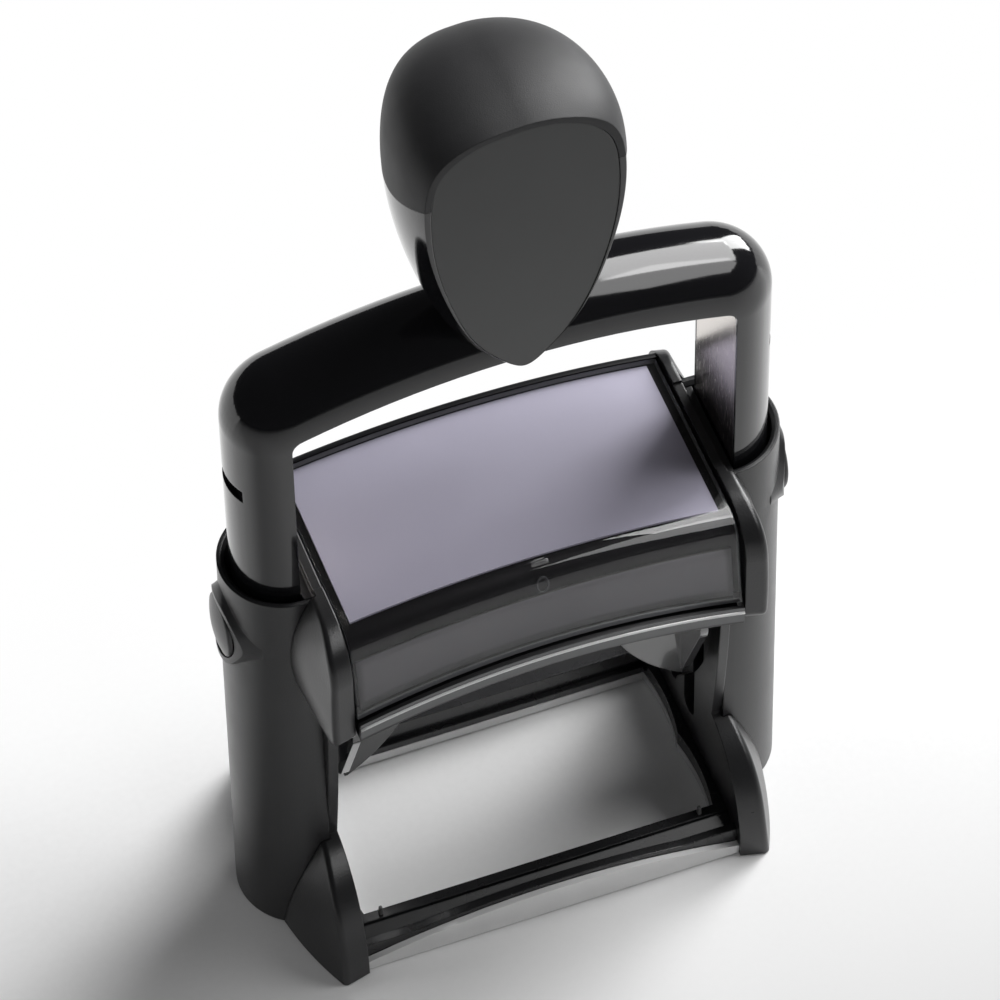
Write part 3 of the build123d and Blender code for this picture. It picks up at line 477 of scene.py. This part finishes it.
def soft_block(bm, low, high, radius, inset, bulge, crown_low, crown_high, pull):
    """Closed soft form: bulging sides that pull in between its corners and crowned faces."""
    mid_x, mid_y = (low[0] + high[0]) / 2, (low[1] + high[1]) / 2
    half_x, half_y = (high[0] - low[0]) / 2, (high[1] - low[1]) / 2
    z0, z1 = low[2] + crown_low, high[2] - crown_high
    steps = 8
    soft_edge = min(radius, (z1 - z0) / 2) * 0.5
    levels = []
    for i in range(steps + 1):
        t = i / steps
        lift = (1 - cos(pi * t)) / 2
        swell = sin(pi * t) ** 0.5 if 0 < t < 1 else 0
        levels.append((z0 + (z1 - z0) * lift, inset + soft_edge * (1 - swell) - bulge * swell))
    rings = []
    caps = (0.15, 0.4, 0.62, 0.8, 0.92)
    for s in caps:
        z = z0 - crown_low * (1 - s ** 3)
        rings.append((s, z, levels[0][1]))
    for z, away in levels:
        rings.append((1, z, away))
    for s in reversed(caps):
        z = z1 + crown_high * (1 - s ** 3)
        rings.append((s, z, levels[-1][1]))
    made = []
    for s, z, away in rings:
        hx, hy = (half_x - away) * s, (half_y - away) * s
        made.append(ring(bm, hx, hy, min(radius * s, hx, hy), z, pull * s))
    for a, b in zip(made, made[1:]):
        bridge_rings(bm, a, b)
    bm.faces.new(made[0])
    bm.faces.new(made[-1])
    bmesh.ops.translate(bm, verts=[v for r in made for v in r], vec=(mid_x, mid_y, 0))


def ink_felt():
    low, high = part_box("ink_pad")
    bm = bmesh.new()
    soft_block(bm, low, high, 1.2 * MM, 0.12 * MM, 0, 0.25 * MM, 0.0, 0.10 * MM)
    pad = new_piece("felt_pad", bm, (felt("ink_felt"),), "tray")
    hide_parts("ink_pad")


def foam_cushion():
    low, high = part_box("cushion")
    bm = bmesh.new()
    soft_block(bm, low, high, 1.5 * MM, 0.25 * MM, 0.15 * MM, 0.0, 0.0, 0.35 * MM)
    material = stamp_rubber("foam", (0.60, 0.58, 0.52), 0.6 * MM)
    foam = new_piece("foam_layer", bm, (material,), "carriage")
    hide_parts("cushion")


def rubber_plate():
    """Text plate: a rubber sheet with a raised frame and rows of blank raised bars."""
    low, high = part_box("text_plate")
    bm = bmesh.new()
    base_top = high[2] - PLATE_RELIEF
    soft_block(bm, low, (high[0], high[1], base_top), 1.0 * MM, 0.05 * MM, 0, 0, 0, 0.05 * MM)
    half_x, half_y = high[0] - PLATE_MARGIN, high[1] - PLATE_MARGIN
    line, d = PLATE_LINE, PLATE_DRAFT
    spans = [(-half_x, half_x, half_y - line, half_y), (-half_x, half_x, -half_y, line - half_y),
             (-half_x, line - half_x, -half_y, half_y), (half_x - line, half_x, -half_y, half_y)]
    for row, reach in enumerate((0.55, 0.82, 0.70, 0.40)):
        y = half_y * (0.62 - 0.42 * row)
        spans.append((-half_x * 0.86, half_x * (2 * reach - 0.86), y - PLATE_BAR, y + PLATE_BAR))
    for x0, x1, y0, y1 in spans:
        foot = [bm.verts.new((x, y, base_top - PLATE_SUNK)) for x, y in
                ((x0, y0), (x1, y0), (x1, y1), (x0, y1))]
        face = [bm.verts.new((x, y, high[2])) for x, y in
                ((x0 + d, y0 + d), (x1 - d, y0 + d), (x1 - d, y1 - d), (x0 + d, y1 - d))]
        bridge_rings(bm, foot, face)
        bm.faces.new(foot)
        bm.faces.new(face)
    material = stamp_rubber("rubber", (0.20, 0.05, 0.04), 0.3 * MM)
    plate = new_piece("rubber_text_plate", bm, (material,), "carriage", smooth=False)
    rounded_edges(plate, 0.06 * MM)
    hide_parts("text_plate")


def arched_strip(name, material, y, z_mid, height, depth, half, rounded=False):
    """Strip along the tray's arched lip, either flat or half round at its front."""
    bm = bmesh.new()
    if rounded:
        section = [(-depth * sin(a), height / 2 * cos(a)) for a in (pi * i / 8 for i in range(9))]
    else:
        section = [(-depth, height / 2), (-depth, -height / 2)]
    section += [(depth * 0.5, -height / 2), (depth * 0.5, height / 2)]
    rows = []
    for x in spread(half):
        z = z_mid - LIP_BOW * (x / half) ** 2
        rows.append([bm.verts.new((x, y + dy, z + dz)) for dy, dz in section])
    for a, b in zip(rows, rows[1:]):
        bridge_rings(bm, a, b)
    bm.faces.new(rows[0])
    bm.faces.new(list(reversed(rows[-1])))
    new_piece(name, bm, (material,), "tray", smooth=rounded)


def lip_trims():
    """The tray's front lip: a label strip, a bead whose milky white is a painted highlight, and a
    grey foot.
    """
    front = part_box("pad_tray")[0][1]
    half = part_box("hood")[1][0] - LIP_END_GAP
    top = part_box("hood")[0][2] + LIP_BOW - LIP_GAP
    grey = moulded_plastic("lip_grey", (0.105, 0.107, 0.110), 0.12, edge=0)
    # painted highlight: the bead is mostly milky white, standing in for the bright line of the
    # hood's lower edge catching light
    clear = clear_plastic("bead_painted_highlight", (0.9, 0.92, 0.93), 0.85, 0.05)
    z = top - LIP_BAND / 2
    arched_strip("lip_label", grey, front, z, LIP_BAND, LIP_SHEET, half)
    z = top - LIP_BAND - BEAD / 2
    arched_strip("lip_bead", clear, front, z, BEAD, BEAD_OUT, half, True)
    z = top - LIP_BAND - BEAD - LIP_FOOT / 2
    arched_strip("lip_foot", grey, front, z, LIP_FOOT, LIP_SHEET, half)


def peg(bm, centre, size):
    """Small tapered peg added to a mesh."""
    x, y, z = centre
    a, b, c = (v / 2 for v in size)
    corners = ((-1, -1), (1, -1), (1, 1), (-1, 1))
    foot = [bm.verts.new((x + dx * a, y + dy * b, z - c)) for dx, dy in corners]
    head = [bm.verts.new((x + dx * a * PEG_TAPER, y + dy * b * PEG_TAPER, z + c))
            for dx, dy in corners]
    bridge_rings(bm, foot, head)
    bm.faces.new(foot)
    bm.faces.new(head)


def rail_pegs():
    """Locating pegs near both ends of the front rail's inner ledge."""
    bm = bmesh.new()
    x, y, z = PEG_PLACE
    for side in (-1, 1):
        peg(bm, (side * x, y, z), PEG_SIZE)
    grey = moulded_plastic("peg_grey", (0.10, 0.10, 0.10), 0.35, edge=0)
    pegs = new_piece("rail_pegs", bm, (grey,), "housing")
    rounded_edges(pegs, 0.15 * MM)


def catch_eye():
    """Oval eye behind the hood's clear front."""
    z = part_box("hood")[1][2] - EYE_DROP
    y = -18.4 * MM + HOOD_SLOPE * (z - 80.1 * MM) - 0.15 * MM
    steps, tube = 28, 8
    bm = bmesh.new()
    rows = []
    for i in range(steps):
        a = 2 * pi * i / steps
        middle = Vector((EYE_HALF[0] * cos(a), y + HOOD_SLOPE * EYE_HALF[1] * sin(a),
                         z + EYE_HALF[1] * sin(a)))
        out = Vector((cos(a), 0, sin(a)))
        row = []
        for j in range(tube):
            b = 2 * pi * j / tube
            turned = cos(b) * out + sin(b) * Vector((0, 1, 0))
            row.append(bm.verts.new(middle + EYE_TUBE * turned))
        rows.append(row)
    for i in range(steps):
        bridge_rings(bm, rows[i], rows[(i + 1) % steps])
    grey = moulded_plastic("eye_grey", (0.04, 0.042, 0.045), 0.25, edge=0)
    new_piece("catch_eye", bm, (grey,), "housing")


def hood_tab():
    """Small tab in the bend at the middle of the hood; its haze, much milkier than the hood's, is
    a painted highlight.
    """
    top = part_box("hood")[1][2]
    low = (-TAB_HALF, TAB_Y[0], top - 0.9 * MM)
    high = (TAB_HALF, TAB_Y[1], top + 0.02 * MM)
    bm = bmesh.new()
    soft_block(bm, low, high, 0.55 * MM, 0.05 * MM, 0, 0, 0.3 * MM, 0.05 * MM)
    # painted highlight: the tab is far hazier than the hood it belongs to, so it shows as a
    # lighter spot
    clear = clear_plastic("tab_painted_highlight", (0.9, 0.9, 0.9), 0.35, 0.1, (0.25, 0.25, 0.25))
    new_piece("hood_tab", bm, (clear,), "cover")


# ---------------------------------------------------------------- studio
def camera():
    yaw, pitch, roll = (radians(a) for a in (CAMERA_YAW, CAMERA_PITCH, CAMERA_ROLL))
    ahead = Vector((sin(yaw) * cos(pitch), cos(yaw) * cos(pitch), -sin(pitch)))
    level = Vector((cos(yaw), -sin(yaw), 0))
    upward = level.cross(ahead)
    right = level * cos(roll) + upward * sin(roll)
    up = upward * cos(roll) - level * sin(roll)
    data = bpy.data.cameras.new("camera")
    data.sensor_width = 36
    data.lens = CAMERA_LENS
    data.clip_end = 20
    obj = bpy.data.objects.new("camera", data)
    turn = Matrix((right, up, -ahead)).transposed().to_4x4()
    obj.matrix_world = Matrix.Translation(CAMERA_PLACE) @ turn
    bpy.context.scene.collection.objects.link(obj)
    bpy.context.scene.camera = obj


def softbox(name, azimuth, height, size, power):
    """Area light aimed at the stamp, at an azimuth counted from +X and a height angle."""
    turn, lift = radians(azimuth), radians(height)
    away = Vector((cos(turn) * cos(lift), sin(turn) * cos(lift), sin(lift)))
    data = bpy.data.lights.new(name, "AREA")
    data.shape = "RECTANGLE"
    data.size, data.size_y = size
    data.energy = power
    obj = bpy.data.objects.new(name, data)
    target = Vector(LIGHT_AIM)
    obj.location = target + LIGHT_AWAY * away
    obj.rotation_euler = (target - obj.location).to_track_quat("-Z", "Y").to_euler()
    bpy.context.scene.collection.objects.link(obj)
    return obj


def floor():
    """Pale table top, painted darker towards the front as painted shade, that fades into the
    white background behind the stamp.
    """
    half = FLOOR_SIZE / 2
    mesh = bpy.data.meshes.new("floor")
    mesh.from_pydata([(-half, -half, 0), (half, -half, 0), (half, half, 0), (-half, half, 0)],
                     [], [(0, 1, 2, 3)])
    obj = bpy.data.objects.new("floor", mesh)
    bpy.context.scene.collection.objects.link(obj)
    obj.location.z = -0.0002
    n = Nodes("floor")
    split = n.add("SeparateXYZ", Vector=n.place())
    paper = n.noise(1.2 * MM, 4)
    tone = n.mix_color(n.remap(paper, 0, 1), (0.87, 0.87, 0.87), (0.89, 0.89, 0.89))
    # painted shade: the floor's tone darkens towards the front, standing in for the light falling
    # off there
    front = n.remap(split.outputs["Y"], 1, 0, *FLOOR_PAINTED_SHADE_Y)
    tone = n.mix_color(front, tone, (0.64, 0.64, 0.64))
    matte = n.add("BsdfDiffuse", Color=tone)
    white = n.add("Emission", Color=(1, 1, 1))
    fade = n.add("MapRange", interpolation_type="SMOOTHSTEP", Value=split.outputs["Y"])
    fade.inputs["From Min"].default_value = FLOOR_WHITE_START
    fade.inputs["From Max"].default_value = FLOOR_WHITE_END
    obj.data.materials.append(n.surface(n.mix_shader(fade.outputs[0], matte, white)))


def world():
    """White behind the stamp, and a dim room in its reflections."""
    scene = bpy.context.scene
    scene.world = bpy.data.worlds.new("studio")
    scene.world.use_nodes = True
    tree = scene.world.node_tree
    tree.nodes.clear()
    path = tree.nodes.new("ShaderNodeLightPath")
    dim = tree.nodes.new("ShaderNodeBackground")
    dim.inputs["Color"].default_value = (0.97, 0.97, 1.0, 1)
    dim.inputs["Strength"].default_value = DIM_ROOM
    white = tree.nodes.new("ShaderNodeBackground")
    white.inputs["Strength"].default_value = 1.0
    mix = tree.nodes.new("ShaderNodeMixShader")
    out = tree.nodes.new("ShaderNodeOutputWorld")
    tree.links.new(path.outputs["Is Camera Ray"], mix.inputs[0])
    tree.links.new(dim.outputs[0], mix.inputs[1])
    tree.links.new(white.outputs[0], mix.inputs[2])
    tree.links.new(mix.outputs[0], out.inputs["Surface"])


def studio():
    camera()
    world()
    floor()
    softbox("key_low", 29, 23, (0.5, 0.75), 14.5)
    softbox("key_high", 14, 54, (0.9, 0.62), 13.5)
    softbox("fill", 180, 55, (1.0, 1.0), 1.9).visible_glossy = False
    softbox("front", -72, 13, (0.5, 0.4), 2.2).visible_glossy = False
    softbox("bar_light", -36, 50, (0.72, 0.56), 4.0).visible_diffuse = False
    bpy.context.scene.view_settings.view_transform = "Standard"


dress_frame()
clear_hood()
label_sheet()
ink_felt()
foam_cushion()
rubber_plate()
lip_trims()
rail_pegs()
catch_eye()
hood_tab()
studio()
